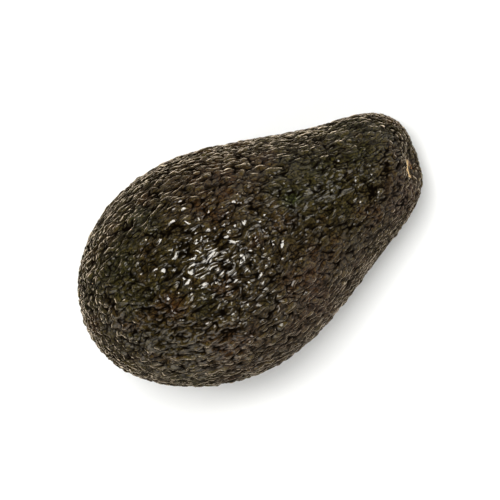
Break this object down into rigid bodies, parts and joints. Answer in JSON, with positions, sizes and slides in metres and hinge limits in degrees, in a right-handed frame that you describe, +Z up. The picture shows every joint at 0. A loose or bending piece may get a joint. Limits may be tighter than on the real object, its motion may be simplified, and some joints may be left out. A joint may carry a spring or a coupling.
{
  "type": "whole avocado",
  "caption": "Whole ripe avocado lying on its side, with a dark pebbled skin and the dry stub of its stalk in its seat.",
  "frame": {"origin": "middle of the small flat spot that the fruit rests on", "axes": "+X along the fruit's length towards the stalk end, +Z up as it lies"},
  "size_m": [0.1081, 0.0678, 0.0674],
  "materials": {
    "skin": "waxy, pebbled, semi-gloss",
    "stalk": "dry and matte"
  },
  "bodies": {
    "root": {"fruit": "skin", "stem_stub": "stalk"}
  },
  "joints": []
}
